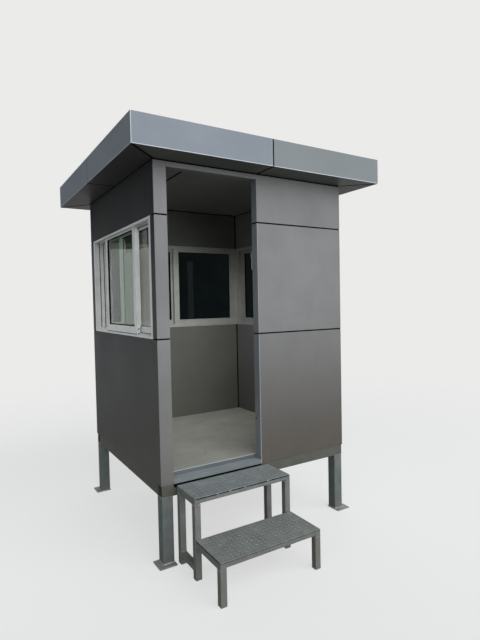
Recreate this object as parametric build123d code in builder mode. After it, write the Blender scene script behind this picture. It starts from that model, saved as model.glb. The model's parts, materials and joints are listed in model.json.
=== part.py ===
from build123d import *
import os

# Security guard booth on four steel legs, with a separate two-step stair.
# Millimetres, +Z up, ground at Z 0. The doorway is in the front wall, which faces -Y.
# The origin is at the middle of the floor area that the roof and the stair cover together.

# Plan of the walls, measured over the cladding
width = 1525
depth = 1500
wall = 87
front_wall = 67
skin = 5

# Heights of the cladding's rows
lap = 25
lower_row = 918
window_height = 770
upper_row = 337

# Open joints between the cladding's sheets
joint = 9
joint_depth = 5
sheet_groove = 3
head_gap = 4
corner_joint = 14

# Doorway beside the front left post
door_width = 665
head_height = 41
sill_sheet = 3

# Steel base: legs with foot plates, beams with open tube ends, joists
leg = 75
leg_corner = 5
leg_height = 422
foot_plate = 120
foot_plate_thickness = 8
foot_plate_inner = 5
beam_width = 75
beam_height = 100
beam_wall = 4
joist = 50
joist_count = 3
floor_thickness = 28

# Flat canopy round the top of the walls; its joints are measured from the walls' outer faces
canopy_front = 190
canopy_left = 198
canopy_right = 226
canopy_back = 248
canopy_joint_x = 768
canopy_joint_y = 780
ceiling_joint_x = 283
fascia_height = 180
sheet = 5
soffit_seat = 30
fascia_cap = 35

# Ribbed roof sheet inside the fascia
rib_pitch = 190
rib_height = 24
rib_top = 30
rib_foot = 60
roof_sheet = 3
roof_drop = 22
roof_fall = 30
roof_end_gap = 2

# Window frame: an extruded section with two channels, one for each sash
frame_proud = 2
frame_web = 3
outer_box = 20
sill_box_height = 12
head_box_height = 16
track_rib = 8
track_rib_height = 20
inner_lip = 7
inner_lip_height = 28
jamb_web = 26
jamb_rib_height = 34
jamb_lip_height = 42
runner = 4
runner_height = 12

# Sashes: stiles and rails with a groove for the pane and its gaskets
side_sash_width = 705
back_sash_width = 665
sash_depth = 24
sash_play = 1.5
sash_gap = 2
sash_stile = 52
top_rail = 49
bottom_rail = 63
runner_play = 3
interlock = 3
interlock_reach = 8
pane = 5
pane_seat = 8
gasket = 3
gasket_lip = 2
gasket_corner = 12

# How far the sashes stand open from the jambs that they close against
left_outer_slide = 263
left_inner_slide = 45
right_inner_slide = 320

# Latch on the meeting stile of a side window's inner sash
latch_width = 22
latch_height = 175
latch_thickness = 12
latch_drop = 1.5
latch_overhang = 6
thumb_width = 10
thumb_height = 42
thumb_thickness = 8

# Stair
step_width = 702
step_left = 17
step_gap = 7
upper_tread_depth = 253
upper_tread_top = 495
lower_tread_depth = 300
lower_tread_top = 248
step_tube = 40
step_rail = 30
step_side_rail = 40
low_rail_bottom = 50
low_rail_height = 30
tread_thickness = 4
tread_lap = 3

# Worked-out places
left = -(canopy_left + width + canopy_right) / 2 + canopy_left
right = left + width
stair_front = step_gap - skin + upper_tread_depth + lower_tread_depth
front = -(depth + canopy_back + stair_front) / 2 + stair_front
back = front + depth
leg_top = foot_plate_thickness + leg_height
beam_top = leg_top + beam_height
wall_base = beam_top - lap
floor_top = beam_top + floor_thickness
window_bottom = wall_base + lower_row
window_top = window_bottom + window_height
wall_top = window_top + upper_row
door_left = wall
door_right = door_left + door_width
door_top = wall_top - head_height
fascia_top = wall_top + fascia_height

# A wall is drawn as seen from outside: x to the right along the wall, y up from the ground
face_of = {
    "front": Plane(origin=(left, front, 0), x_dir=(1, 0, 0), z_dir=(0, -1, 0)),
    "right": Plane(origin=(right, front, 0), x_dir=(0, 1, 0), z_dir=(1, 0, 0)),
    "back": Plane(origin=(right, back, 0), x_dir=(-1, 0, 0), z_dir=(0, 1, 0)),
    "left": Plane(origin=(left, back, 0), x_dir=(0, -1, 0), z_dir=(-1, 0, 0)),
}
length_of = {"front": width, "right": depth, "back": width, "left": depth}
# Where the walls with windows run, from the corner behind the front wall to the back corners
wall_span = {
    "right": (front_wall, depth - wall),
    "back": (wall, width - wall),
    "left": (wall, depth - front_wall),
}

os.makedirs("parts", exist_ok=True)


def save(piece, name):
    """Label a finished piece and write it as its own file."""
    piece.part.label = name
    export_step(piece.part, f"parts/{name}.step")


def slab(face, across, up, into, mode=Mode.ADD):
    """Add or cut a block: across and up on the wall's face, into the wall from it."""
    with BuildSketch(face.offset(-into[0])) as outline:
        with Locations(((across[0] + across[1]) / 2, (up[0] + up[1]) / 2)):
            Rectangle(across[1] - across[0], up[1] - up[0])
    extrude(outline.sketch, amount=into[0] - into[1], mode=mode)


def block(low, high, mode=Mode.ADD):
    """Add or cut a block between two corners of the booth's own frame."""
    with BuildSketch(Plane.XY.offset(low[2])) as outline:
        with Locations(((low[0] + high[0]) / 2, (low[1] + high[1]) / 2)):
            Rectangle(high[0] - low[0], high[1] - low[1])
    extrude(outline.sketch, amount=high[2] - low[2], mode=mode)


def underside_groove(start, end):
    """Cut an open joint into the underside of the soffit or ceiling, from one point to another."""
    run = Vector(*end) - Vector(*start)
    along = Plane(origin=(*start, wall_top), x_dir=run, z_dir=(0, 0, 1))
    with BuildSketch(along) as outline:
        with Locations((run.length / 2, 0)):
            Rectangle(run.length, joint)
    extrude(outline.sketch, amount=sheet_groove, mode=Mode.SUBTRACT)


# Legs stand on welded foot plates that reach outwards, a little past the booth's corner
leg_inset = skin
foot_outer = foot_plate - leg - foot_plate_inner
leg_corners = {
    "front_left": (left + leg_inset, front + leg_inset, -1, -1),
    "front_right": (right - leg_inset - leg, front + leg_inset, 1, -1),
    "back_left": (left + leg_inset, back - leg_inset - leg, -1, 1),
    "back_right": (right - leg_inset - leg, back - leg_inset - leg, 1, 1),
}
for corner, (leg_x, leg_y, _, _) in leg_corners.items():
    with BuildPart() as leg_tube:
        block((leg_x, leg_y, foot_plate_thickness), (leg_x + leg, leg_y + leg, leg_top))
        fillet(leg_tube.edges().filter_by(Axis.Z), leg_corner)
    save(leg_tube, f"leg_{corner}")

with BuildPart() as foot_plates:
    for leg_x, leg_y, out_x, out_y in leg_corners.values():
        plate_x = leg_x - (foot_outer if out_x < 0 else foot_plate_inner)
        plate_y = leg_y - (foot_outer if out_y < 0 else foot_plate_inner)
        block(
            (plate_x, plate_y, 0),
            (plate_x + foot_plate, plate_y + foot_plate, foot_plate_thickness),
        )
save(foot_plates, "foot_plates")

# Front and back beams run the full width and show their open ends below the cladding
beam_start = skin
for side in ("front", "back"):
    with BuildPart() as cross_beam:
        across = (beam_start, width - beam_start)
        slab(face_of[side], across, (leg_top, beam_top), (beam_start, beam_start + beam_width))
        slab(
            face_of[side],
            across,
            (leg_top + beam_wall, beam_top - beam_wall),
            (beam_start + beam_wall, beam_start + beam_width - beam_wall),
            mode=Mode.SUBTRACT,
        )
    save(cross_beam, f"beam_{side}")

side_beam_start = beam_start + beam_width
for side in ("left", "right"):
    with BuildPart() as side_beam:
        slab(
            face_of[side],
            (side_beam_start, depth - side_beam_start),
            (leg_top, beam_top),
            (beam_start, beam_start + beam_width),
        )
    save(side_beam, f"beam_{side}")

with BuildPart() as joists:
    joist_room = depth - 2 * side_beam_start
    for number in range(joist_count):
        joist_y = front + side_beam_start + joist_room * (number + 1) / (joist_count + 1)
        block(
            (left + side_beam_start, joist_y - joist / 2, beam_top - joist),
            (right - side_beam_start, joist_y + joist / 2, beam_top),
        )
save(joists, "floor_joists")

with BuildPart() as floor_board:
    block((left + wall, front + front_wall, beam_top), (right - wall, back - wall, floor_top))
save(floor_board, "floor_board")

# Folded sheet over the beam in the doorway, in front of the floor board
with BuildPart() as door_sill:
    door_span = (door_left, door_right)
    slab(face_of["front"], door_span, (wall_base, beam_top), (0, skin))
    slab(face_of["front"], door_span, (beam_top, beam_top + sill_sheet), (0, front_wall))
save(door_sill, "door_sill")


def clad_face(side, across, top, thickness=wall):
    """Cladding that stands on the beam and laps down over it by its skin."""
    slab(face_of[side], across, (beam_top, top), (0, thickness))
    slab(face_of[side], across, (wall_base, beam_top), (0, skin))


def groove(side, across, low, high):
    """Open joint between two rows of cladding."""
    slab(face_of[side], across, (low, high), (0, joint_depth), mode=Mode.SUBTRACT)


# The rows meet at the window's bottom and top edges, in joints that run round the booth
joint_spans = (
    (window_bottom - joint / 2, window_bottom + joint / 2),
    (window_top - joint / 2, window_top + joint / 2),
    (wall_top - joint, wall_top),
)

# Corner posts, clad on both outer faces; the front one is as deep as the front wall
post_corners = {
    "front_left": (("front", (0, wall), front_wall), ("left", (wall_span["left"][1], depth), wall)),
    "back_left": (("left", (0, wall), wall), ("back", (wall_span["back"][1], width), wall)),
    "back_right": (("back", (0, wall), wall), ("right", (wall_span["right"][1], depth), wall)),
}
for corner, outer_faces in post_corners.items():
    with BuildPart() as post:
        for side, across, thickness in outer_faces:
            clad_face(side, across, wall_top, thickness)
        for side, across, _ in outer_faces:
            for low, high in joint_spans:
                groove(side, across, low, high)
    save(post, f"post_{corner}")

# Walls below and above the windows, between the posts
for side, across in wall_span.items():
    room_corners = (
        (across[0], across[0] + corner_joint),
        (across[1] - corner_joint, across[1]),
    )
    inner_skin = (wall - joint_depth, wall)
    with BuildPart() as lower_wall:
        clad_face(side, across, window_bottom)
        if side == "back":
            for corner_span in room_corners:
                slab(face_of[side], corner_span, (floor_top, window_bottom), inner_skin,
                     mode=Mode.SUBTRACT)
    save(lower_wall, f"{side}_wall_lower")
    with BuildPart() as upper_wall:
        slab(face_of[side], across, (window_top, wall_top), (0, wall))
        groove(side, across, window_top, window_top + head_gap)
        groove(side, across, wall_top - joint, wall_top)
        slab(face_of[side], across, (wall_top - joint, wall_top), inner_skin, mode=Mode.SUBTRACT)
        if side == "back":
            for corner_span in room_corners:
                slab(face_of[side], corner_span, (window_top, wall_top), inner_skin,
                     mode=Mode.SUBTRACT)
    save(upper_wall, f"{side}_wall_upper")

# Front wall beside the doorway, in three rows, each folded back into the doorway's side
front_rows = {
    "lower": (wall_base, window_bottom),
    "middle": (window_bottom, window_top),
    "upper": (window_top, wall_top),
}
front_across = (door_right, width)
for row, (low, high) in front_rows.items():
    with BuildPart() as front_panel:
        low_body = max(low, beam_top)
        slab(face_of["front"], front_across, (low_body, high), (0, front_wall))
        if row == "lower":
            slab(face_of["front"], front_across, (low, low_body), (0, skin))
            slab(face_of["right"], (0, front_wall), (low, low_body), (0, skin))
        for gap_low, gap_high in joint_spans:
            if low < gap_high and gap_low < high:
                groove("front", front_across, gap_low, gap_high)
                groove("right", (0, front_wall), gap_low, gap_high)
                slab(
                    face_of["front"],
                    (door_right, door_right + joint_depth),
                    (gap_low, gap_high),
                    (0, front_wall),
                    mode=Mode.SUBTRACT,
                )
    save(front_panel, f"front_wall_{row}")

with BuildPart() as door_head:
    slab(face_of["front"], door_span, (door_top, wall_top), (0, front_wall))
    groove("front", door_span, wall_top - joint, wall_top)
save(door_head, "door_head")

ceiling_inset = soffit_seat + joint
with BuildPart() as ceiling:
    block(
        (left + ceiling_inset, front + ceiling_inset, wall_top),
        (right - ceiling_inset, back - ceiling_inset, wall_top + sheet),
    )
    underside_groove(
        (left + ceiling_joint_x, front + ceiling_inset),
        (left + ceiling_joint_x, back - ceiling_inset),
    )
save(ceiling, "ceiling")


def ring_side(side, outer, inner, bottom, top):
    """One mitred side of a rectangular ring between two rectangles in plan."""
    (ox0, oy0, ox1, oy1) = outer
    (ix0, iy0, ix1, iy1) = inner
    corners = {
        "front": ((ox0, oy0), (ox1, oy0), (ix1, iy0), (ix0, iy0)),
        "right": ((ox1, oy0), (ox1, oy1), (ix1, iy1), (ix1, iy0)),
        "back": ((ox1, oy1), (ox0, oy1), (ix0, iy1), (ix1, iy1)),
        "left": ((ox0, oy1), (ox0, oy0), (ix0, iy0), (ix0, iy1)),
    }
    with BuildSketch(Plane.XY.offset(bottom)) as outline:
        with BuildLine():
            Polyline(*corners[side], close=True)
        make_face()
    extrude(outline.sketch, amount=top - bottom)
    return corners[side]


canopy = (left - canopy_left, front - canopy_front, right + canopy_right, back + canopy_back)
canopy_inside = (canopy[0] + sheet, canopy[1] + sheet, canopy[2] - sheet, canopy[3] - sheet)
cap_inside = (
    canopy[0] + fascia_cap,
    canopy[1] + fascia_cap,
    canopy[2] - fascia_cap,
    canopy[3] - fascia_cap,
)
soffit_inside = (
    left + soffit_seat,
    front + soffit_seat,
    right - soffit_seat,
    back - soffit_seat,
)
canopy_length = {"front": canopy[2] - canopy[0], "right": canopy[3] - canopy[1]}
canopy_length["back"] = canopy_length["front"]
canopy_length["left"] = canopy_length["right"]

# A joint in each side of the canopy runs up the fascia and back along the soffit
joint_x = left + canopy_joint_x
joint_y = front + canopy_joint_y
middle_joint = {
    "front": ((joint_x, canopy[1]), (joint_x, soffit_inside[1])),
    "right": ((canopy[2], joint_y), (soffit_inside[2], joint_y)),
    "back": ((joint_x, canopy[3]), (joint_x, soffit_inside[3])),
    "left": ((canopy[0], joint_y), (soffit_inside[0], joint_y)),
}
fascia_face = {
    "front": face_of["front"].offset(canopy_front),
    "right": face_of["right"].offset(canopy_right),
    "back": face_of["back"].offset(canopy_back),
    "left": face_of["left"].offset(canopy_left),
}
fascia_joint = {
    "front": canopy_joint_x,
    "right": canopy_joint_y,
    "back": width - canopy_joint_x,
    "left": depth - canopy_joint_y,
}

for side in ("front", "right", "back", "left"):
    with BuildPart() as fascia:
        ring_side(side, canopy, canopy_inside, wall_top, fascia_top)
        ring_side(side, canopy, cap_inside, fascia_top - sheet, fascia_top)
        across = (fascia_joint[side] - joint / 2, fascia_joint[side] + joint / 2)
        slab(fascia_face[side], across, (wall_top, fascia_top), (0, sheet_groove),
             mode=Mode.SUBTRACT)
    save(fascia, f"fascia_{side}")
    with BuildPart() as soffit:
        outer_start, outer_end, inner_end, inner_start = ring_side(
            side, canopy_inside, soffit_inside, wall_top, wall_top + sheet
        )
        underside_groove(outer_start, inner_start)
        underside_groove(outer_end, inner_end)
        underside_groove(*middle_joint[side])
    save(soffit, f"soffit_{side}")

# Ribbed steel roof sheet, sloping to the back, tucked under the fascia's cap
with BuildPart() as roof_cover:
    roof_room = canopy_inside[2] - canopy_inside[0]
    rib_count = int(roof_room / rib_pitch)
    first_rib = (canopy[0] + canopy[2]) / 2 - (rib_count - 1) * rib_pitch / 2
    front_level = fascia_top - roof_drop - rib_height
    roof_run = canopy_inside[3] - canopy_inside[1] - 2 * roof_end_gap
    sheet_plane = Plane(
        origin=(0, canopy_inside[1] + roof_end_gap, front_level),
        x_dir=(1, 0, 0),
        z_dir=(0, 1, -roof_fall / roof_run),
    )
    top_line = [(canopy_inside[0], 0)]
    for number in range(rib_count):
        rib_x = first_rib + number * rib_pitch
        top_line += [
            (rib_x - rib_foot / 2, 0),
            (rib_x - rib_top / 2, -rib_height),
            (rib_x + rib_top / 2, -rib_height),
            (rib_x + rib_foot / 2, 0),
        ]
    top_line += [(canopy_inside[2], 0)]
    under_line = [(x, y + roof_sheet) for x, y in reversed(top_line)]
    with BuildSketch(sheet_plane):
        with BuildLine():
            Polyline(*top_line, *under_line, close=True)
        make_face()
    extrude(amount=roof_run)
save(roof_cover, "roof_sheet")


def section_bar(plane, length, metal, hollow=()):
    """Extrude a bar from its section, drawn as metal boxes less hollow boxes (x0, x1, y0, y1)."""
    with BuildSketch(plane) as section:
        for x0, x1, y0, y1 in metal:
            with Locations(((x0 + x1) / 2, (y0 + y1) / 2)):
                Rectangle(x1 - x0, y1 - y0)
        for x0, x1, y0, y1 in hollow:
            with Locations(((x0 + x1) / 2, (y0 + y1) / 2)):
                Rectangle(x1 - x0, y1 - y0, mode=Mode.SUBTRACT)
    extrude(section.sketch, amount=length)


def four_bars(face, across, up, start, sections):
    """Frame a rectangle: the bottom, right, top and left bars, each with its own section.
    In a section x runs into the wall from the start plane and y from the edge inwards."""
    wide = across[1] - across[0]
    high = up[1] - up[0]
    runs = (
        ((across[0], up[0]), face.x_dir, wide),
        ((across[1], up[0]), face.y_dir, high),
        ((across[1], up[1]), -face.x_dir, wide),
        ((across[0], up[1]), -face.y_dir, high),
    )
    for (corner, along, length), section in zip(runs, sections):
        origin = face.from_local_coords((*corner, -start))
        section_bar(Plane(origin=origin, x_dir=-face.z_dir, z_dir=along), length, *section)


# The frame's section, from the outer box over two channels and a rib to the inner lip
channel = sash_depth + 2 * sash_play
outer_channel = outer_box
rib_start = outer_channel + channel
inner_channel = rib_start + track_rib
lip_start = inner_channel + channel
frame_depth = lip_start + inner_lip


def frame_section(web, box_height, rib_top_height, lip_height):
    """Boxes of a frame bar's section."""
    return (
        (0, frame_depth, 0, web),
        (0, outer_box, 0, box_height),
        (rib_start, rib_start + track_rib, 0, rib_top_height),
        (lip_start, frame_depth, 0, lip_height),
    )


runners = tuple(
    (start + (channel - runner) / 2, start + (channel + runner) / 2, 0, frame_web + runner_height)
    for start in (outer_channel, inner_channel)
)
sill_bar = frame_section(frame_web, sill_box_height, track_rib_height, inner_lip_height) + runners
head_bar = frame_section(frame_web, head_box_height, track_rib_height, inner_lip_height)
jamb_bar = frame_section(jamb_web, jamb_web, jamb_rib_height, jamb_lip_height)

# The sash's section has a groove at its inner edge for the pane between two gaskets
glazing = pane + 2 * gasket
glazing_start = (sash_depth - glazing) / 2
groove_depth = pane_seat + sash_gap


def sash_section(height):
    """Boxes of a stile or rail, with its glazing groove."""
    metal = ((0, sash_depth, 0, height),)
    hollow = ((glazing_start, glazing_start + glazing, height - groove_depth, height),)
    return metal, hollow


sash_bars = (
    sash_section(bottom_rail),
    sash_section(sash_stile),
    sash_section(top_rail),
    sash_section(sash_stile),
)
outer_sash_depth = outer_channel + sash_play - frame_proud
inner_sash_depth = inner_channel + sash_play - frame_proud

# Each window: sash width, then for the outer and the inner sash the jamb that it closes
# against, 0 or 1 along the wall, and how far it stands open
windows = {
    "left": (side_sash_width, (0, left_outer_slide), (1, left_inner_slide)),
    "back": (back_sash_width, (1, 0), (0, 0)),
    "right": (side_sash_width, (1, 0), (0, right_inner_slide)),
}
sashes_of = {}
for side, (sash_width, *placings) in windows.items():
    room = (wall_span[side][0] + jamb_web + sash_gap, wall_span[side][1] - jamb_web - sash_gap)
    sashes_of[side] = []
    for (jamb, slide), start in zip(placings, (outer_sash_depth, inner_sash_depth)):
        low = room[1] - sash_width - slide if jamb else room[0] + slide
        sashes_of[side].append(((low, low + sash_width), start, 0 if jamb else 1))

frame_up = (window_bottom, window_top)
sash_up = (window_bottom + frame_web + sash_gap, window_top - frame_web - sash_gap)
glass_up = (sash_up[0] + bottom_rail, sash_up[1] - top_rail)

for side, sashes in sashes_of.items():
    face = face_of[side]
    with BuildPart() as window_frame:
        bars = ((sill_bar,), (jamb_bar,), (head_bar,), (jamb_bar,))
        four_bars(face, wall_span[side], frame_up, -frame_proud, bars)
    save(window_frame, f"window_frame_{side}")

    with BuildPart() as sash_pair:
        for number, (across, start, meeting_end) in enumerate(sashes):
            four_bars(face, across, sash_up, start, sash_bars)
            middle = start + sash_depth / 2
            half_slot = runner / 2 + runner_play
            slab(
                face,
                across,
                (sash_up[0], sash_up[0] + runner_height - sash_gap),
                (middle - half_slot, middle + half_slot),
                mode=Mode.SUBTRACT,
            )
            hook = (across[1] - interlock, across[1])
            if meeting_end == 0:
                hook = (across[0], across[0] + interlock)
            hook_start = start + sash_depth if number == 0 else start - interlock_reach
            slab(
                face,
                hook,
                (glass_up[0], glass_up[1]),
                (hook_start, hook_start + interlock_reach),
            )
    save(sash_pair, f"window_sashes_{side}")

    with BuildPart() as panes:
        for across, start, _ in sashes:
            middle = start + sash_depth / 2
            slab(
                face,
                (across[0] + sash_stile - pane_seat, across[1] - sash_stile + pane_seat),
                (glass_up[0] - pane_seat, glass_up[1] + pane_seat),
                (middle - pane / 2, middle + pane / 2),
            )
    save(panes, f"window_glass_{side}")

# Rubber gaskets hold every pane from both sides and show a thin rounded rim
with BuildPart() as gaskets:
    for side, sashes in sashes_of.items():
        for across, start, _ in sashes:
            glass_across = (across[0] + sash_stile, across[1] - sash_stile)
            glass_wide = glass_across[1] - glass_across[0]
            glass_high = glass_up[1] - glass_up[0]
            for near in (start + glazing_start, start + glazing_start + gasket + pane):
                with BuildSketch(face_of[side].offset(-near - gasket)) as rim:
                    with Locations((sum(glass_across) / 2, sum(glass_up) / 2)):
                        Rectangle(glass_wide + 2 * pane_seat, glass_high + 2 * pane_seat)
                        RectangleRounded(
                            glass_wide - 2 * gasket_lip,
                            glass_high - 2 * gasket_lip,
                            gasket_corner,
                            mode=Mode.SUBTRACT,
                        )
                extrude(rim.sketch, amount=gasket)
save(gaskets, "window_gaskets")

# Tall latches on the room side of the side windows' inner sashes, each with a thumb piece
latch_level = glass_up[1] - latch_drop - latch_height / 2
with BuildPart() as latches:
    for side in ("left", "right"):
        across, start, meeting_end = sashes_of[side][1]
        edge = across[meeting_end]
        inwards = -1 if meeting_end else 1
        latch_x = edge + inwards * (latch_width / 2 - latch_overhang)
        latch_face = face_of[side].offset(-start - sash_depth)
        with BuildSketch(latch_face) as housing:
            with Locations((latch_x, latch_level)):
                SlotOverall(latch_height, latch_width, rotation=90)
        extrude(housing.sketch, amount=-latch_thickness)
        with BuildSketch(latch_face.offset(-latch_thickness)) as thumb:
            with Locations((latch_x, latch_level + latch_height / 4)):
                SlotOverall(thumb_height, thumb_width, rotation=90)
        extrude(thumb.sketch, amount=-thumb_thickness)
save(latches, "window_latches")

# Stair: each step is a welded tube frame with its own tread plate
step_x = (left + door_left + step_left, left + door_left + step_left + step_width)
upper_y = (front + skin - step_gap - upper_tread_depth, front + skin - step_gap)
lower_y = (upper_y[0] - lower_tread_depth, upper_y[0])


def step_frame(x_span, y_span, top, leg_rows):
    """Tube legs under a ring of rails, deeper at the sides and open between them."""
    for rail_y in (y_span[0], y_span[1] - step_tube):
        block((x_span[0], rail_y, top - step_rail), (x_span[1], rail_y + step_tube, top))
    for rail_x in (x_span[0], x_span[1] - step_tube):
        block((rail_x, y_span[0], top - step_side_rail), (rail_x + step_tube, y_span[1], top))
        for foot_y in leg_rows:
            block(
                (rail_x, foot_y, 0),
                (rail_x + step_tube, foot_y + step_tube, top - step_side_rail),
            )


with BuildPart() as upper_frame:
    rows = (upper_y[0], upper_y[1] - step_tube)
    step_frame(step_x, upper_y, upper_tread_top - tread_thickness, rows)
    for rail_x in (step_x[0], step_x[1] - step_tube):
        block(
            (rail_x, upper_y[0] + step_tube, low_rail_bottom),
            (rail_x + step_tube, upper_y[1] - step_tube, low_rail_bottom + low_rail_height),
        )
save(upper_frame, "step_frame_upper")

with BuildPart() as lower_frame:
    step_frame(step_x, lower_y, lower_tread_top - tread_thickness, (lower_y[0],))
save(lower_frame, "step_frame_lower")

for level, y_span, top in (
    ("upper", upper_y, upper_tread_top),
    ("lower", lower_y, lower_tread_top),
):
    with BuildPart() as tread:
        block(
            (step_x[0] + tread_lap, y_span[0], top - tread_thickness),
            (step_x[1] - tread_lap, y_span[1] - tread_lap, top),
        )
    save(tread, f"tread_{level}")
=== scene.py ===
# %% [markdown]
# # A guard booth, dressed for its photograph
#
# A small steel-legged booth: silver composite sheets, white sliding windows, a deep flat canopy
# and a loose two-step stair. The solid model gives every size. This lesson adds what the solids
# leave out: folded edges, black joint seals, screws, welds, raised plate pattern, dust and wear.
# Loading the solids first means that each later piece is placed from their own corners.

# %% Load the solid model
import bpy
import bmesh
import json
import math
from mathutils import Matrix, Vector


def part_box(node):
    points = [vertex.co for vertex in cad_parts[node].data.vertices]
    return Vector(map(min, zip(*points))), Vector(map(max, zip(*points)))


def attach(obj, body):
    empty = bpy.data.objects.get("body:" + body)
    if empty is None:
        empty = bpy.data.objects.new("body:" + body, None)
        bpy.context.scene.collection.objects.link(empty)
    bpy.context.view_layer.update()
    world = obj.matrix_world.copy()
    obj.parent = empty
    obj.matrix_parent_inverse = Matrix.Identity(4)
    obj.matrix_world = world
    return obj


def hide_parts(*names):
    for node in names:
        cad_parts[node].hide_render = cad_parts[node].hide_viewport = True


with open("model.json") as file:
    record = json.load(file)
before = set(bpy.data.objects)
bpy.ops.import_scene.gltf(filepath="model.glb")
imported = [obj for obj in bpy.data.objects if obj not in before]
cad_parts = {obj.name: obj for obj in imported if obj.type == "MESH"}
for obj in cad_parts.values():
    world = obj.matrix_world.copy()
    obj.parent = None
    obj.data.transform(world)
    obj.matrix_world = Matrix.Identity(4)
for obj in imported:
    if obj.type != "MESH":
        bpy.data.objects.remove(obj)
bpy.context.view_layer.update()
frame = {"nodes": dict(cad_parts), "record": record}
slot_of = {part["node"]: part["material_slot"] for part in frame["record"]["subparts"]}
near_post, far_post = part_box("post_front_left"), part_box("post_back_right")
left, front, right, back = near_post[0].x, near_post[0].y, far_post[1].x, far_post[1].y
wall = near_post[1].x - left
window_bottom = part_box("left_wall_lower")[1].z
window_top, wall_top = [corner.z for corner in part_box("left_wall_upper")]
print("solid pieces:", len(frame["nodes"]), "booth", round(right - left, 3), "by", round(back - front, 3))

# %% [markdown]
# ## Small helpers
#
# Colours are written as they look on a screen, in hex, and turned to the linear values that
# light needs by one function. One helper adds a node to any tree, sets its values and links its
# sockets. The short ones after it stand for the few nodes that every finish uses: noise, a ramp
# of tones, a span of values, a cover of dust, a bump. So each finish reads as a short recipe.

# %% Helpers for colours and nodes


def linear(hex_colour):
    """Turn a screen colour such as #83837f into linear values with full opacity."""
    channels = [int(hex_colour[place:place + 2], 16) / 255 for place in (1, 3, 5)]
    curve = [c / 12.92 if c <= 0.04045 else ((c + 0.055) / 1.055) ** 2.4 for c in channels]
    return (*curve, 1.0)


def fill(tree, node, inputs):
    """Give each input of a node its value, or a link where the value is another node's socket."""
    for name, value in inputs.items():
        if isinstance(value, bpy.types.NodeSocket):
            tree.links.new(value, node.inputs[name])
        else:
            node.inputs[name].default_value = value


def add(tree, kind, inputs=None, **settings):
    """Add a node: its settings first, then its inputs."""
    made = tree.nodes.new(kind)
    for name, value in settings.items():
        setattr(made, name, value)
    fill(tree, made, inputs or {})
    return made


def worked(tree, operation, *values):
    """The result of one sum with numbers or sockets."""
    return add(tree, "ShaderNodeMath", dict(enumerate(values)), operation=operation).outputs[0]


def blotches(tree, place, scale, detail, roughness=0.5):
    """Noise with so many blotches to the metre."""
    return add(tree, "ShaderNodeTexNoise", {"Vector": place, "Scale": scale, "Detail": detail,
                                            "Roughness": roughness}).outputs["Fac"]


def stretched(tree, place, scale):
    """Coordinates with a scale of their own along each axis."""
    return add(tree, "ShaderNodeMapping", {"Vector": place, "Scale": scale}).outputs[0]


def blended(tree, first, share, second):
    """A share of one pattern and the rest of another."""
    return worked(tree, "MULTIPLY_ADD", second, 1 - share, worked(tree, "MULTIPLY", first, share))


def span(tree, value, start, end, low=0.0, high=1.0):
    """Spread the values from start to end over low to high."""
    return add(tree, "ShaderNodeMapRange", {"Value": value, "From Min": start, "From Max": end,
                                            "To Min": low, "To Max": high}).outputs[0]


def toned(tree, factor, *stops):
    """A ramp of hex colours, each at its place."""
    ramp = add(tree, "ShaderNodeValToRGB", {"Fac": factor})
    band = ramp.color_ramp.elements
    while len(band) < len(stops):
        band.new(0.5)
    for element, (place, colour) in zip(band, stops):
        element.position = place
        element.color = linear(colour)
    return ramp.outputs[0]


def covered(tree, share, under, over):
    """A tone with a share of one hex colour over it."""
    return add(tree, "ShaderNodeMix", {"Factor": share, 6: under, 7: linear(over)},
               data_type="RGBA").outputs[2]


def relief(tree, height, strength, distance):
    """A bump whose full height is a distance in metres."""
    return add(tree, "ShaderNodeBump",
               {"Strength": strength, "Distance": distance, "Height": height}).outputs[0]


print("a mid grey is", [round(value, 3) for value in linear("#808080")[:3]])

# %% Helpers for materials and objects


def empty_tree(owner):
    """The node tree of a material or world, cleared."""
    owner.use_nodes = True
    owner.node_tree.nodes.clear()
    return owner.node_tree


def new_material(name):
    """A material with a principled shader on its output, and its coordinates in metres."""
    material = bpy.data.materials.new(name)
    tree = empty_tree(material)
    shader = add(tree, "ShaderNodeBsdfPrincipled")
    add(tree, "ShaderNodeOutputMaterial", {"Surface": shader.outputs["BSDF"]})
    return material, tree, add(tree, "ShaderNodeTexCoord").outputs["Object"], shader


def in_scene(name, data):
    """A new object for a mesh, a lamp or a camera, linked to the scene."""
    made = bpy.data.objects.new(name, data)
    bpy.context.scene.collection.objects.link(made)
    return made


print("ready: empty_tree, new_material and in_scene")

# %% [markdown]
# ## The camera
#
# The photograph was taken from standing height, a little left of the doorway. A camera can be
# aimed by trial, but here its place was solved from the booth's corners, so it is written as a
# distance from the front left corner, and its turns as three angles. The lens is a wide one.

# %% Place the camera
yaw, pitch, roll = 0.5514, -0.0357, -0.0206
ahead = Vector((math.sin(yaw) * math.cos(pitch), math.cos(yaw) * math.cos(pitch), math.sin(pitch)))
level = Vector((math.cos(yaw), -math.sin(yaw), 0))
above = level.cross(ahead)
across = math.cos(roll) * level + math.sin(roll) * above
upward = math.cos(roll) * above - math.sin(roll) * level
lens = bpy.data.cameras.new("photograph")
lens.sensor_width = 36
lens.lens = 26.37
camera = in_scene("photograph", lens)
turn = Matrix((across, upward, -ahead)).transposed().to_4x4()
camera.matrix_world = Matrix.Translation((left - 1.0695, front - 2.7142, 1.6369)) @ turn
bpy.context.scene.camera = camera
print("camera at", [round(value, 3) for value in camera.location])

# %% [markdown]
# ## Floor and light
#
# The booth stands in overcast light: bright from the front right, dim on its left side and dark
# under the canopy. Sun lamps with very wide discs act as patches of sky, each with its own
# strength, because a clouded sky is brightest on one side. A small area lamp over the room stands
# for the light that the doorway lets in. The floor is pale and keeps the shadow. It fades out
# before its edge, so no horizon line shows.

# %% Lay the floor


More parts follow.
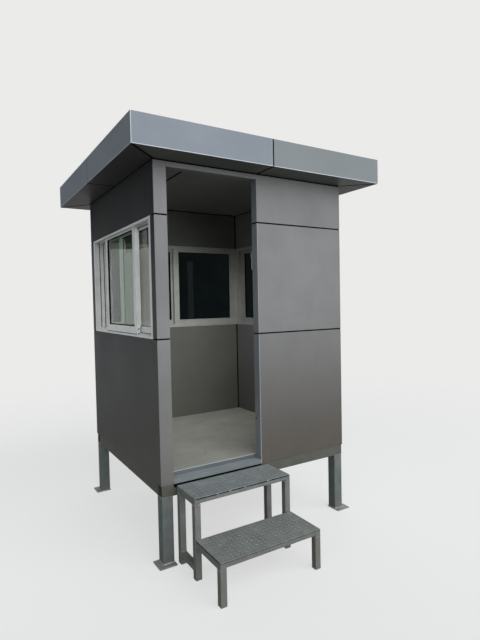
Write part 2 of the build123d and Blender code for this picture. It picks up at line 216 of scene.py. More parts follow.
def studio_sheet(name, corners, material):
    """A flat sheet through four corners."""
    mesh = bpy.data.meshes.new(name)
    mesh.from_pydata(corners, [], [(0, 1, 2, 3)])
    mesh.materials.append(material)
    return in_scene(name, mesh)


def turn_toward(lamp, way):
    """Let a lamp hang in one direction and shine back from it."""
    lamp.rotation_mode = "QUATERNION"
    lamp.rotation_quaternion = Vector(way).to_track_quat("Z", "Y")


ground_paper = bpy.data.materials.new("pale_studio_paper")
tree = empty_tree(ground_paper)
place = add(tree, "ShaderNodeTexCoord").outputs["Object"]
away = add(tree, "ShaderNodeVectorMath", {0: place}, operation="LENGTH").outputs["Value"]
paper = add(tree, "ShaderNodeBsdfDiffuse", {"Color": linear("#9c9c9a")}).outputs[0]
seen = add(tree, "ShaderNodeLightPath").outputs
glow = add(tree, "ShaderNodeEmission", {"Color": linear("#ffffff"), "Strength": 0.58}).outputs[0]
dark = add(tree, "ShaderNodeEmission", {"Strength": 0.0}).outputs[0]
lift = add(tree, "ShaderNodeMixShader", {0: seen["Is Camera Ray"], 1: dark, 2: glow}).outputs[0]
lit = add(tree, "ShaderNodeAddShader", {0: paper, 1: lift}).outputs[0]
clear = add(tree, "ShaderNodeBsdfTransparent").outputs[0]
faded = add(tree, "ShaderNodeMixShader", {0: span(tree, away, 3.0, 7.5), 1: lit, 2: clear}).outputs[0]
add(tree, "ShaderNodeOutputMaterial", {"Surface": faded})
half = 9
ground = studio_sheet("ground", [(-half, -half, 0), (half, -half, 0), (half, half, 0), (-half, half, 0)],
                      ground_paper)
print("the floor is", 2 * half, "m wide")

# %% Hang the clouded sky
world = bpy.data.worlds.new("overcast")
bpy.context.scene.world = world
tree = empty_tree(world)
seen = add(tree, "ShaderNodeLightPath").outputs
glossy = worked(tree, "MAXIMUM", seen["Is Camera Ray"], seen["Is Glossy Ray"])
shown = worked(tree, "MAXIMUM", glossy, seen["Is Transmission Ray"])
sky = add(tree, "ShaderNodeBackground", {"Color": linear("#eef1f4"), "Strength": 0.08}).outputs[0]
backdrop = add(tree, "ShaderNodeBackground", {"Color": linear("#ebebea"), "Strength": 1.0}).outputs[0]
chosen = add(tree, "ShaderNodeMixShader", {0: shown, 1: sky, 2: backdrop}).outputs[0]
add(tree, "ShaderNodeOutputWorld", {"Surface": chosen})

bpy.context.scene.view_settings.view_transform = "Standard"
# Each patch of sky: its strength, its width in degrees, its colour and the way to it
skies = {
    "wide_sun": (3.1, 84, "#fafcff", (0.26, -0.88, 0.40)),
    "front_left_sky": (0.82, 60, "#e6eef8", (-0.80, -0.50, 0.33)),
    "behind_sky": (1.3, 80, "#f0f4f8", (0.45, 0.82, 0.36)),
}
for name, (strength, width, tint, toward) in skies.items():
    sky_lamp = bpy.data.lights.new(name, "SUN")
    sky_lamp.energy = strength
    sky_lamp.angle = math.radians(width)
    sky_lamp.color = linear(tint)[:3]
    hung = in_scene(name, sky_lamp)
    turn_toward(hung, toward)
    hung.visible_glossy = hung.visible_transmission = name != "behind_sky"
print("sky:", ", ".join(f"{name} {row[0]}" for name, row in skies.items()))

# %% Light the room and hang a black flag
# Open sky also falls through the doorway and the windows onto the floor and the lower walls.
skylight = bpy.data.lights.new("room_skylight", "AREA")
skylight.shape = "RECTANGLE"
skylight.size, skylight.size_y = 0.8, 0.4
skylight.spread = math.radians(95)
skylight.energy = 4.6
room_lamp = in_scene("room_skylight", skylight)
room_lamp.location = ((left + right) / 2, front + 0.42, wall_top - 0.06)
turn_toward(room_lamp, (0, -0.45, 0.89))

# Glass that is seen almost along its face mirrors what lies beyond it on its own side: something
# dark above something pale. A studio uses a black flag for that. This one is seen in reflections
# and through glass alone, and it hangs behind the booth, on the left.
felt = bpy.data.materials.new("black_felt")
tree = empty_tree(felt)
folds = blotches(tree, add(tree, "ShaderNodeTexCoord").outputs["Object"], 1.3, 6.0)
tone = toned(tree, folds, (0.35, "#101310"), (0.7, "#3c423b"))
# The felt glows faintly in dark patches, so that the glass mirrors it without a lamp on it.
add(tree, "ShaderNodeOutputMaterial",
    {"Surface": add(tree, "ShaderNodeEmission", {"Color": tone}).outputs[0]})
half, top = 6.5, 6.0
flag = studio_sheet("black_flag", [(-half, 0, 0), (half, 0, 0), (half, 0, top), (-half, 0, top)], felt)
flag.data.transform(Matrix.Translation((left - 2.2, front + 7.3, 2.86)) @ Matrix.Rotation(0.3, 4, "Z"))
flag.visible_camera = flag.visible_diffuse = flag.visible_shadow = False
print("made", room_lamp.name, "and", flag.name)

# %% [markdown]
# ## Silver composite sheet
#
# The walls are aluminium composite sheet: thin aluminium with a silver coat, rolled in one
# direction. To the eye it is a soft satin grey with faint upright streaks, a few wipe marks and
# some dust near its lower edge. Noise that is stretched along Z draws the streaks. The real
# brush lines are finer than a pixel here, so they are drawn about 4 mm wide, as coarse as they
# need to be to show. Light and shade are also painted into some coats, on whole pieces or single
# faces. There is painted shade on the left side, under the canopy and in the room, and painted
# light on the ceiling, the left fascia and the sill's top. Painted highlights, almost white, run
# along the folds at the canopy's rim and at the doorway's edge.

# %% Silver composite, for walls, canopy and lining


def composite_sheet(name, coat, shade, dusty_height, grain_axis="Z", grain=0.22, film_share=0.5, lean=0.0,
                    film_tone="#57534e"):
    """Coated sheet with streaks along one axis, soft clouds and dust below a given height.

    With a lean the film climbs higher toward the front: painted light that grows toward the front."""
    material, tree, place, shader = new_material(name)
    along = {"X": (1.2, 260, 260), "Y": (260, 1.2, 260), "Z": (260, 260, 1.2)}[grain_axis]
    streaks = blotches(tree, stretched(tree, place, along), 1.0, 3.0, 0.6)
    pattern = blended(tree, streaks, grain, blotches(tree, place, 2.6, 4.0, 0.55))
    tone = toned(tree, pattern, (0.36, shade), (0.64, coat))
    axes = add(tree, "ShaderNodeSeparateXYZ", {"Vector": place}).outputs
    low = span(tree, axes["Z"], dusty_height + 0.22, dusty_height, 0.0, 0.6)
    dust = worked(tree, "MULTIPLY", low, blotches(tree, place, 11.0, 6.0, 0.7))
    leant = worked(tree, "MULTIPLY_ADD", axes["Y"], lean, axes["Z"])
    film = span(tree, leant, dusty_height + 1.0, dusty_height, 0.0, film_share)
    specks = worked(tree, "MULTIPLY_ADD", streaks, 0.6, blotches(tree, place, 420.0, 2.0))
    fill(tree, shader, {
        "Base Color": covered(tree, dust, covered(tree, film, tone, film_tone), "#6b665e"),
        "Roughness": span(tree, pattern, 0.3, 0.7, 0.38, 0.5),
        "Normal": relief(tree, specks, 0.12, 0.0006),
        "Metallic": 0.06, "Specular IOR Level": 0.04})
    return material


clean = -1.0  # a dusty height under the ground, for sheets that catch no dust
finishes = {
    "cladding_silver": composite_sheet("satin_silver_composite", "#848483", "#797978", 0.50),
    "canopy_silver": composite_sheet("satin_silver_fascia", "#8a9198", "#838a91", clean, "X", 0.15),
    "inner_lining": composite_sheet("satin_silver_lining", "#696b66", "#5d5f5a", clean, "Y"),
}
print("composite finishes:", sorted(finishes))

# %% Coats for single pieces and faces
splashed_composite = composite_sheet("splashed_silver_composite", "#848483", "#797978", 0.60,
                                     film_share=1.0)
# Painted shade: the left side's coat is much darker than the front's. Its pale film, low down and toward the
# front, is dust plus painted light from the ground.
side_shade_composite = composite_sheet("satin_silver_composite_painted_side_shade", "#393e41", "#33383a", 0.50,
                                 film_share=1.0, lean=0.3, film_tone="#65645e")
# Painted shade in the room: a darker coat for the back wall's inner face.
room_shade_composite = composite_sheet("satin_silver_composite_painted_room_shade", "#797a73", "#6f7069", 0.30)
shaded_composite = composite_sheet("satin_silver_composite_in_shade", "#414343", "#383a3a", clean)
second_tray = composite_sheet("satin_silver_second_tray", "#858b8c", "#7e8485", clean, "X", 0.15)
# Painted light on the left fascia: a paler coat than the front's.
side_light_tray = composite_sheet("satin_silver_tray_painted_side_light", "#999fa5", "#91979d", clean, "Y", 0.15)
# Painted light on the ceiling: a paler coat than the lining's.
ceiling_light_composite = composite_sheet("satin_silver_ceiling_painted_light", "#858683", "#7a7b78", clean, "Y")
# Painted shade under the left side of the canopy.
side_shade_soffit = composite_sheet("satin_silver_soffit_painted_side_shade", "#50514f", "#474846", clean, "Y")
sill_composite = composite_sheet("blue_grey_sill_sheet", "#767d7f", "#6d7476", clean, "X")
# Painted light: a paler coat for the sill's top, and a thin highlight along the doorway's fold.
painted_light_sheet = composite_sheet("blue_grey_sheet_painted_light", "#979d9f", "#8b9193", clean, "X")
# Painted shade on the floor nosing's upright leg.
riser_shade_composite = composite_sheet("blue_grey_riser_painted_shade", "#646b6c", "#5b6263", clean, "X")
# Painted sky light: a bluer coat for the doorway's side faces.
sky_tint_composite = composite_sheet("satin_silver_composite_painted_sky_light", "#848889", "#777b7c", clean)
# Painted highlights, almost white, along the canopy's folds and the nosing's lip.
painted_highlight = composite_sheet("silver_painted_highlight", "#cfd3d6", "#bfc3c6", clean)
print("made", painted_highlight.name, "and twelve more coats")

# %% [markdown]
# ## White window sections
#
# The windows are extruded aluminium with a white powder coat, baked on. It gives a slightly
# uneven, eggshell surface. Grime settles in the tracks and low corners, so an ambient occlusion
# node would be one way to place it, but a plain noise on real sizes also lasts in an export.

# %% White powder coat
material, tree, place, shader = new_material("white_powder_coat")
grime = blotches(tree, place, 9.0, 8.0, 0.72)
fill(tree, shader, {
    "Base Color": toned(tree, grime, (0.30, "#dbdcd8"), (0.50, "#ebece9"), (0.75, "#f2f2f0")),
    "Roughness": span(tree, grime, 0.0, 1.0, 0.5, 0.3),
    "Normal": relief(tree, blotches(tree, place, 700.0, 1.0), 0.15, 0.0002)})
finishes["window_white"] = material


def dulled_powder(name, tones):
    """The powder coat with its three tones darkened, as painted shade."""
    dull = finishes["window_white"].copy()
    dull.name = name
    ramp = next(node for node in dull.node_tree.nodes if node.type == "VALTORGB")
    for element, colour in zip(ramp.color_ramp.elements, tones):
        element.color = linear(colour)
    return dull


# Painted shade: on the left window's jambs, on the inner sash's top rail under the head, and on the room side
# of the other windows.
jamb_shade_powder = dulled_powder("white_powder_coat_painted_jamb_shade", ("#9a9b97", "#abaca8", "#b8b9b5"))
shaded_powder = dulled_powder("shaded_white_powder_coat", ("#5c5d58", "#686964", "#767771"))
room_shade_powder = dulled_powder("white_powder_coat_painted_room_shade", ("#a2a39b", "#aeafa7", "#b9bab2"))
print("made", finishes["window_white"].name, jamb_shade_powder.name, shaded_powder.name, room_shade_powder.name)

# %% [markdown]
# ## Two kinds of glass
#
# The back and right windows show almost black, the left one a pale grey-green that the sash
# behind shows through. So the first are dark tinted float glass and the other is clear float
# glass. The principled shader does both with its transmission and IOR. Dust lies on a pane as
# slightly rougher, paler patches, and on the clear panes as a thin milky film. The inner left
# pane's film is thicker: dust and a painted reflection. Above a set height the left panes are
# clear and show dark: a painted dark reflection under the window's head.

# %% Tinted and clear float glass


def float_glass(name, tints, passing, roughest, gleam, clear_above=9.0):
    """Glass with a tint, a share of light that passes, and patches of dust up to a height."""
    material, tree, place, shader = new_material(name)
    dust = blotches(tree, stretched(tree, place, (3.0, 3.0, 2.4)), 1.0, 9.0, 0.72)
    height = add(tree, "ShaderNodeSeparateXYZ", {"Vector": place}).outputs["Z"]
    cleared = span(tree, height, clear_above - 0.012, clear_above + 0.012)
    passes = add(tree, "ShaderNodeMix", {"Factor": cleared, 2: span(tree, dust, 0.3, 0.75, *passing), 3: 1.0},
                 data_type="FLOAT")
    fill(tree, shader, {
        "Base Color": toned(tree, dust, (0.35, tints[0]), (0.75, tints[1])),
        "Roughness": span(tree, dust, 0.45, 0.8, 0.0, roughest),
        "Transmission Weight": passes.outputs[0], "IOR": gleam})
    return material


dark_reflection_height = 2.03  # above this height the left panes are clear and show dark: painted dark reflection
finishes["window_glass"] = float_glass("dark_tinted_float_glass", ("#0b0f10", "#141a1b"),
                                       (1.0, 0.98), 0.05, 1.10)
clear_glass = float_glass("clear_float_glass", ("#c3cfc7", "#ced8d0"), (0.98, 0.93), 0.02, 1.18, dark_reflection_height)
dust_and_reflection_glass = float_glass("clear_float_glass_dust_and_painted_reflection", ("#d0cfc6", "#dbdad2"), (0.58, 0.44), 0.04, 1.28,
                          dark_reflection_height)
print("glass:", finishes["window_glass"].name, clear_glass.name, dust_and_reflection_glass.name)

# %% [markdown]
# ## Rubber gaskets and joint seals
#
# Black EPDM rubber: matt, a little grey with dust on its ridges.

# %% Black rubber


def speckled(name, pattern, stops, inputs, bump=None):
    """A finish with one noise, given by scale, detail and roughness, that sets its tone and bump."""
    material, tree, place, shader = new_material(name)
    specks = blotches(tree, place, *pattern)
    fill(tree, shader, {"Base Color": toned(tree, specks, *stops), **inputs})
    if bump:
        fill(tree, shader, {"Normal": relief(tree, specks, *bump)})
    return material


rubber = speckled("black_epdm_rubber", (60.0, 5.0), ((0.4, "#020202"), (0.8, "#0b0b0a")),
                  {"Roughness": 0.85, "Specular IOR Level": 0.05}, (0.2, 0.0004))
finishes["gasket_rubber"] = rubber
print("made", rubber.name)

# %% [markdown]
# ## Painted steel of the base and the stair
#
# Square tube under a thin grey enamel, brushed on. Brush lines, runs and a bloom of brown dust
# near the ground keep it from looking like plastic. The same recipe serves all of it. The stair
# is a warmer grey, and its treads are bluer and dusty, because they are walked on. The treads
# and the foot plates get paler coats as well: painted light on their tops.

# %% Grey enamel on steel


def steel_enamel(name, coat, shade, dust, dust_top, wear):
    """Enamel paint with cloudy tone, dust that thins out upwards, and small chips."""
    material, tree, place, shader = new_material(name)
    clouds = blotches(tree, place, 14.0, 6.0, 0.65)
    strokes = blotches(tree, stretched(tree, place, (220, 220, 14)), 1.0, 2.0)
    pattern = blended(tree, clouds, 0.6, strokes)
    tone = toned(tree, pattern, (0.38, shade), (0.62, coat))
    height = add(tree, "ShaderNodeSeparateXYZ", {"Vector": place}).outputs["Z"]
    settled = blotches(tree, place, 30.0, 8.0, 0.75)
    bloom = worked(tree, "MULTIPLY", settled, span(tree, height, dust_top, 0.0))
    chips = add(tree, "ShaderNodeTexVoronoi", {"Vector": place, "Scale": 45.0, "Randomness": 1.0})
    chipped = span(tree, chips.outputs["Distance"], wear, wear * 0.6)
    fill(tree, shader, {
        "Base Color": covered(tree, chipped, covered(tree, bloom, tone, dust), "#4b4039"),
        "Roughness": span(tree, pattern, 0.0, 1.0, 0.35, 0.65),
        "Normal": relief(tree, pattern, 0.25, 0.0008)})
    return material


finishes["base_steel"] = steel_enamel("grey_enamel_base", "#6b726f", "#575d5a", "#6f6c62", 0.14, 0.05)
finishes["stair_steel"] = steel_enamel("warm_grey_enamel_stair", "#757b79", "#5f6462", "#736c5f", 0.7,
                                       0.07)
beam_enamel = steel_enamel("grey_enamel_beams", "#55574f", "#484a42", "#544f45", 0.6, 0.08)
foot_top_light_enamel = steel_enamel("grey_enamel_feet_painted_top_light", "#9ba2a3", "#7b8384", "#8b877c", 0.02, 0.06)
tread_top_light_enamel = steel_enamel("blue_grey_enamel_treads_painted_top_light", "#98a1a4", "#6e777a", "#8a8573", 0.9, 0.04)
print("enamels:", finishes["base_steel"].name, finishes["stair_steel"].name, "and three more")

# %% [markdown]
# ## Floor board and roof sheet
#
# The floor is a bare fibre-cement board, pale grey with scuffs and dust. The roof is a ribbed
# steel sheet with a factory coat, which rain has streaked down its slope.

# %% Cement board and coated roof steel
material, tree, place, shader = new_material("fibre_cement_board")
scuffs = blotches(tree, place, 5.0, 10.0, 0.7)
pattern = blended(tree, blotches(tree, place, 260.0, 3.0), 0.25, scuffs)
fill(tree, shader, {
    "Base Color": toned(tree, pattern, (0.35, "#8f8d84"), (0.5, "#9b9a92"), (0.68, "#a5a49c")),
    "Normal": relief(tree, pattern, 0.3, 0.0005), "Roughness": 0.85})
finishes["floor_board"] = material

material, tree, place, shader = new_material("coated_roof_steel")
rain = blotches(tree, stretched(tree, place, (40, 1.5, 40)), 1.0, 5.0, 0.6)
fill(tree, shader, {
    "Base Color": toned(tree, rain, (0.35, "#93979a"), (0.65, "#b3b7ba")),
    "Roughness": span(tree, rain, 0.0, 1.0, 0.3, 0.6), "Metallic": 0.3})
finishes["roof_steel"] = material

zinc, tree, place, shader = new_material("zinc_plated_steel")
spangle = add(tree, "ShaderNodeTexVoronoi", {"Vector": place, "Scale": 900.0}).outputs["Distance"]
fill(tree, shader, {
    "Base Color": toned(tree, spangle, (0.0, "#8c8e8c"), (0.6, "#a9aba9")),
    "Metallic": 0.8, "Roughness": 0.45})
print("finishes:", sorted(finishes))

# %% [markdown]
# ## Round the folded edges
#
# Real sheet is folded, not cut to a knife edge, and each fold catches a thin line of light. A
# bevel modifier rounds every edge by a real radius, and weighted normals keep the large faces
# flat. The solids' meshes are loose triangles, so a copy is merged and its flat triangles are
# joined first. The copy then stands for the solid.

# %% Rounded copies of the solids


def put_in_scene(name, mesh, finish):
    """Link a finished mesh as a piece that rides with the booth."""
    piece = in_scene(name, mesh)
    if not mesh.materials:
        mesh.materials.append(finish)
    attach(piece, "root")
    return piece


def keep_shape(name, shape, finish):
    """Turn a finished bmesh into a piece."""
    mesh = bpy.data.meshes.new(name)
    shape.to_mesh(mesh)
    shape.free()
    return put_in_scene(name, mesh, finish)


def rounded_copy(node, radius, steps, ending):
    """Merge a copy of a solid's mesh, round its edges and let it stand for the solid."""
    mesh = frame["nodes"][node].data.copy()
    mesh.name = f"{node}_{ending}"
    mesh.materials.clear()
    shape = bmesh.new()
    shape.from_mesh(mesh)
    bmesh.ops.remove_doubles(shape, verts=shape.verts, dist=0.00001)
    bmesh.ops.dissolve_limit(shape, angle_limit=math.radians(0.6), verts=shape.verts, edges=shape.edges)
    shape.to_mesh(mesh)
    shape.free()
    mesh.polygons.foreach_set("use_smooth", [True] * len(mesh.polygons))
    piece = put_in_scene(f"{node}_{ending}", mesh, finishes[slot_of[node]])
    fold = piece.modifiers.new("fold_radius", "BEVEL")
    fold.width = radius
    fold.segments = steps
    fold.limit_method = "ANGLE"
    fold.angle_limit = math.radians(40)
    shading = piece.modifiers.new("flat_faces", "WEIGHTED_NORMAL")
    shading.keep_sharp = True
    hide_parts(node)
    return piece


rounding = {
    "cladding_silver": (0.0022, 3, "sheet"), "canopy_silver": (0.0014, 2, "tray"),
    "inner_lining": (0.0010, 2, "lining"), "window_white": (0.0008, 2, "section"),
    "base_steel": (0.0030, 3, "tube"), "stair_steel": (0.0030, 3, "tube"),
    "floor_board": (0.0015, 2, "board"),
}
dressed = {node: rounded_copy(node, *rounding[slot]) for node, slot in sorted(slot_of.items())
           if slot in rounding and not node.startswith("leg")}
# Some whole pieces take coats that paint light or shade: shade on the left wall and under the left soffit,
# light on the ceiling, the left fascia, the foot plates and the treads.
whole_coats = {
    "left_wall_lower": side_shade_composite, "left_wall_upper": shaded_composite, "door_sill": sill_composite,
    "front_wall_lower": splashed_composite, "ceiling": ceiling_light_composite, "soffit_left": side_shade_soffit,
    "fascia_left": side_light_tray, "beam_front": beam_enamel, "beam_back": beam_enamel,
    "beam_left": beam_enamel, "beam_right": beam_enamel, "floor_joists": beam_enamel,
    "foot_plates": foot_top_light_enamel, "tread_upper": tread_top_light_enamel, "tread_lower": tread_top_light_enamel,
}
for node, coat in whole_coats.items():
    dressed[node].data.materials[0] = coat
for node in ("tread_upper", "tread_lower"):
    dressed[node].modifiers["fold_radius"].width = 0.0008  # a finer fold than the tubes
print("rounded copies:", len(dressed))

# %% [markdown]
# ## A coat for a single face
#
# A sheet with painted shade on one side and a painted highlight along its fold keeps one mesh. The
# copy takes a second material, and a test of each face's direction and place picks the faces that get it.
# Where only a narrow band should change, the mesh is cut first. A strip laid over the face would
# look the same, but two surfaces in one place flicker.

# %% Coat single faces and narrow bands


def coat_faces(nodes, coat, chosen):
    """Give rounded copies a coat on the faces that a test of normal and centre picks out."""
    for node in nodes.split():
        mesh = dressed[node].data
        mesh.materials.append(coat)
        for face in mesh.polygons:
            if chosen(face.normal, face.center):
                face.material_index = len(mesh.materials) - 1


def cut_band(nodes, axis, place):
    """Cut rounded copies across an axis, so that a narrow band of them can have its own coat."""
    for node in nodes.split():
        mesh = dressed[node].data
        shape = bmesh.new()
        shape.from_mesh(mesh)
        bmesh.ops.bisect_plane(shape, geom=shape.verts[:] + shape.edges[:] + shape.faces[:],
                               plane_co=axis * place, plane_no=axis)
        shape.to_mesh(mesh)
        shape.free()


east, north, up = Vector((1, 0, 0)), Vector((0, 1, 0)), Vector((0, 0, 1))
square_on = 0.9  # a face looks along an axis when its normal reaches this far
fold_band = 0.005
sheet_joint = left + 0.768
reveal_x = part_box("front_wall_lower")[0].x
front_rows = "front_wall_lower front_wall_middle"
fascias = "fascia_front fascia_right fascia_back fascia_left"
rim_low, rim_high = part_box("fascia_front")
coat_faces("fascia_front", second_tray, lambda way, at: at.x > sheet_joint)
# Painted light on the sill's top.
coat_faces("door_sill", painted_light_sheet, lambda way, at: way.z > square_on)
# Painted shade on the posts' left sides.
coat_faces("post_front_left post_back_left", side_shade_composite, lambda way, at: way.x < -square_on)
# Painted sky light on the doorway's side faces.
coat_faces(front_rows + " front_wall_upper", sky_tint_composite,
           lambda way, at: way.x < -square_on and at.x < sheet_joint)
# A narrow band along the doorway's fold gets painted light: a highlight line.
cut_band(front_rows, east, reveal_x + fold_band)
coat_faces(front_rows, painted_light_sheet,
           lambda way, at: way.y < -square_on and at.x < reveal_x + fold_band)
# Painted highlights along the folds at the canopy's rim and at its front corners.
cut_band(fascias, up, rim_low.z + fold_band)
coat_faces(fascias, painted_highlight, lambda way, at: abs(way.z) < 0.1 and at.z < rim_low.z + fold_band)
cut_band("fascia_front", east, rim_low.x + fold_band)
cut_band("fascia_front", east, rim_high.x - fold_band)
coat_faces("fascia_front", painted_highlight, lambda way, at: way.y < -square_on and not (
    rim_low.x + fold_band <= at.x <= rim_high.x - fold_band))
print("coats on the front fascia:", len(dressed["fascia_front"].data.materials))

# %% [markdown]
# ## Corners moved in a few copies
#
# The lower step's frame sits back a little, so that its welds and rubber stay in the solid's box.
# The left window's head hides most of each sash's top rail, more than the solid shows, so the
# rails' lower edges, their panes and gaskets rise. Both are small, so it is enough to move the
# corners of the copies.

# %% Set the lower frame back and raise the left sashes' top rails
stair_front, front_skin, set_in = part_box("step_frame_lower")[0].y, 0.002, 0.0012
for vertex in dressed["step_frame_lower"].data.vertices:
    if vertex.co.y < stair_front + front_skin:
        vertex.co.y += set_in

# Each rise is for the parts that lie less deep in the wall than its first value: the outer sash
# first, then the inner one
dressed["window_gaskets"] = rounded_copy("window_gaskets", 0.0002, 1, "rubber")
left_panes = dressed["window_glass_left"] = rounded_copy("window_glass_left", 0.0008, 1, "panes")
rises = ((0.050, 0.024), (0.085, 0.011))
rail_height, rail_play = 0.049, 0.018
rail_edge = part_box("window_sashes_left")[1].z - rail_height
for piece in (dressed["window_sashes_left"], dressed["window_gaskets"], left_panes):
    for vertex in piece.data.vertices:
        if abs(vertex.co.z - rail_edge) < rail_play and vertex.co.y < back - wall:
            depth_in = vertex.co.x - left
            vertex.co.z += next((rise for reach, rise in rises if depth_in < reach), 0.0)
outer_rail_edge = rail_edge + rises[0][1]
# Painted shade on the inner sash's top rail under the head, and on the faces of the left window's jambs.
coat_faces("window_sashes_left", shaded_powder,
           lambda way, at: at.x - left > rises[0][0] and at.z > rail_edge + 0.002)
coat_faces("window_frame_left", jamb_shade_powder,
           lambda way, at: abs(way.y) > square_on and at.x - left > 0.003)
print("the outer rail's lower edge is at", round(outer_rail_edge, 3))

# %% Coat the room side, the panes and the pieces that are left
room_side = 0.040  # the inner parts of a window lie deeper in the wall than this
# Painted shade on the room side of the back wall and of the back and right windows.
coat_faces("back_wall_lower back_wall_upper", room_shade_composite, lambda way, at: way.y < -square_on)
coat_faces("window_frame_back window_sashes_back", room_shade_powder, lambda way, at: at.y < back - room_side)
coat_faces("window_frame_right window_sashes_right", room_shade_powder,
           lambda way, at: at.x < right - room_side)

# The left window's panes: a clean outer one, and an inner one whose milky film is dust and a painted
# reflection
left_panes.data.materials.clear()
left_panes.data.materials.append(clear_glass)
pane_low, pane_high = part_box("window_glass_left")
coat_faces("window_glass_left", dust_and_reflection_glass, lambda way, at: at.x > (pane_low.x + pane_high.x) / 2)

for node, solid in frame["nodes"].items():
    if node not in dressed:
        solid.data.materials.clear()
        solid.data.materials.append(finishes[slot_of[node]])
print("solids shown as they are:", len(frame["nodes"]) - len(dressed))

# %% [markdown]
# ## Points on a wall
#
# Seals, screws and marks are placed as a fitter would measure them: so far along a wall, so high
# and so deep into it. One function turns that into a point of the booth.

# %% Measure along a wall
wall_frames = {
    "front": (Vector((left, front, 0)), east, north),
    "right": (Vector((right, front, 0)), north, -east),
    "back": (Vector((right, back, 0)), -east, -north),
    "left": (Vector((left, back, 0)), -north, east),
}
width, depth = right - left, back - front
wall_length = {"front": width, "right": depth, "back": width, "left": depth}
front_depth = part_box("door_head")[1].y - front
window_span = {"left": (wall, depth - front_depth), "back": (wall, width - wall),
               "right": (front_depth, depth - wall)}


def on_wall(side, along, high, into):
    """A point so far along a wall seen from outside, so high, and so deep into it."""
    corner, run, inward = wall_frames[side]
    return corner + run * along + inward * into + up * high


print("left wall's far end is at", [round(value, 3) for value in on_wall("left", 0, 0, 0)])

# %% [markdown]
# ## Black joint seals
#
# Composite sheets are hung with a gap of about 9 mm, closed with a black seal that sits a little
# behind the face. Painting the gap black would not hold up from close by. So each seal is a
# strip with a shallow hollow, swept along its joint as a fitter's thumb leaves it.

# %% Seal the joints of the walls


def seal_strip(shape, start, end, side_way, outward, width, depth):
    """Sweep a hollow-faced strip from start to end. Its back lies depth behind its edges."""
    profile = [(-0.5, 0.0), (-0.25, -0.22), (0.0, -0.3), (0.25, -0.22), (0.5, 0.0), (0.5, -1.0),
               (-0.5, -1.0)]
    first, last = [[shape.verts.new(point + side_way * (x * width) + outward * (y * depth))
                    for x, y in profile] for point in (start, end)]
    for place in range(len(profile)):
        shape.faces.new((first[place - 1], first[place], last[place], last[place - 1]))
    shape.faces.new(first[::-1])
    shape.faces.new(last)


def wall_seal(side, start, end, level_z, into, width):
    """A level seal that looks out of a wall, or into the room where it lies deep."""
    way = wall_frames[side][2] * (1 if into > wall / 2 else -1)
    seal_strip(shape, on_wall(side, start, level_z, into), on_wall(side, end, level_z, into), up, way,
               width, seal_depth)


joint, bead, corner = 0.009, 0.004, 0.014
recess = seal_depth = 0.0024
door_right = reveal_x - left
top_joint = wall_top - joint / 2
levels = [window_bottom, window_top, top_joint]
shape = bmesh.new()
for level_z in levels:
    for side, (start, end) in {"front": (wall, door_right), **window_span}.items():
        wall_seal(side, recess, start - recess, level_z, recess, joint)
        wall_seal(side, end + recess, wall_length[side] - recess, level_z, recess, joint)
    seal_strip(shape, Vector((reveal_x + recess, front + recess, level_z)),
               Vector((reveal_x + recess, front + front_depth - recess, level_z)), up, -east, joint,
               seal_depth)
for side, ends in window_span.items():
    wall_seal(side, *ends, top_joint, recess, joint)
    wall_seal(side, *ends, window_top + bead / 2, recess, bead)
    wall_seal(side, *ends, top_joint, wall - recess, joint)
door_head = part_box("door_head")
wall_seal("front", door_head[0].x - left, door_head[1].x - left, top_joint, recess, joint)

# The room's corner joints stand upright on the back wall
for along in (wall + corner / 2, wall_length["back"] - wall - corner / 2):
    for low, high in ((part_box("floor_board")[1].z, window_bottom), (window_top, wall_top)):
        seal_strip(shape, on_wall("back", along, low, wall - recess),
                   on_wall("back", along, high, wall - recess), east, -north, corner, seal_depth)
print("faces of the walls' seals:", len(shape.faces))

# %% Seal the joints of the canopy
# They run up each fascia and back along the soffit, and four more cut the soffit's corners
low_x, low_y, high_x, high_y = rim_low.x, rim_low.y, rim_high.x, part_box("fascia_back")[1].y
middle_y, ceiling_x = front + 0.780, left + 0.283
seat, edge_in, smear_width = 0.030, 0.005, 0.014
thin, slim = 0.0009, 0.0018
runs = []
for outer, inner, way in (((sheet_joint, low_y), (sheet_joint, front + seat), -north),
                          ((sheet_joint, high_y), (sheet_joint, back - seat), north),
                          ((low_x, middle_y), (left + seat, middle_y), -east),
                          ((high_x, middle_y), (right - seat, middle_y), east)):
    edge = Vector((*outer, 0)) - way * thin
    seal_strip(shape, edge + up * (wall_top + thin), edge + up * (rim_high.z - thin), way.cross(up),
               way, joint, slim)
    runs.append((outer, inner))
runs.append(((ceiling_x, front + seat + joint), (ceiling_x, back - seat - joint)))
for far_y, near_y in ((low_y + edge_in, front + seat), (high_y - edge_in, back - seat)):
    for far_x, near_x in ((low_x + edge_in, left + seat), (high_x - edge_in, right - seat)):
        runs.append(((far_x, far_y), (near_x, near_y)))
for run in runs:
    start, end = (Vector((*point, wall_top + thin)) for point in run)
    along = (end - start).normalized()
    for short_of, lower, size in ((0.001, 0.0, (joint, slim)), (0.003, 2 * thin, (smear_width, thin))):
        shift = along * short_of
        seal_strip(shape, start + shift - up * lower, end - shift - up * lower, along.cross(up), -up, *size)
bmesh.ops.recalc_face_normals(shape, faces=shape.faces)
seals = keep_shape("joint_seals", shape, rubber)
print("seal faces:", len(seals.data.polygons))

# %% [markdown]
# ## Rules that repeat a small shape
#
# Plate pattern, weld beads, screws and brush pile are each one small shape, repeated. Geometry
# Nodes do that with a few nodes: a rule takes points or a path, puts the shape on them, and ends
# in real mesh. Its sizes are named inputs, so one rule serves several places.

# %% Helpers that build a rule


